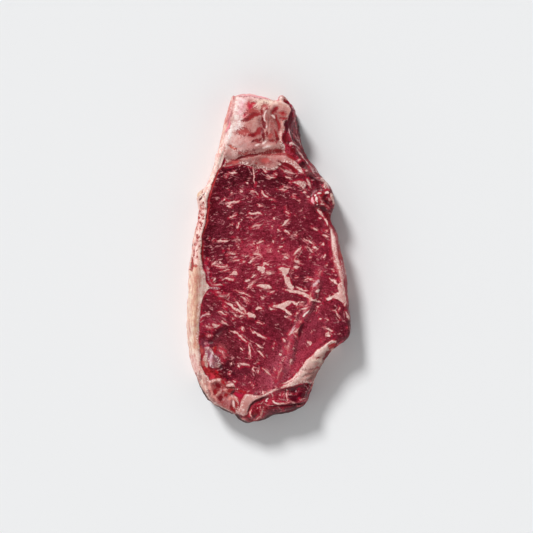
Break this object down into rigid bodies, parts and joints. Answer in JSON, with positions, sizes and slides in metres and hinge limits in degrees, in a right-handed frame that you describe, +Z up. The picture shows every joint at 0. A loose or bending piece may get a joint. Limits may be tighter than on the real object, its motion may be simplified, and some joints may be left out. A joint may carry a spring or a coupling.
{
  "type": "raw sirloin steak",
  "caption": "Raw sirloin steak, a flat oval slab of marbled lean with a fat cap along one side and a fat tail end.",
  "frame": {"origin": "middle of the flat underside, at the bottom centre of the bounding box", "axes": "+Z up through the cut face, +Y along the steak to its fat tail end, -X to the fat cap"},
  "size_m": [0.1076, 0.217, 0.0246],
  "materials": {
    "meat": "moist raw lean with cream fat and fine marbling"
  },
  "bodies": {
    "root": {"steak": "meat"}
  },
  "joints": []
}
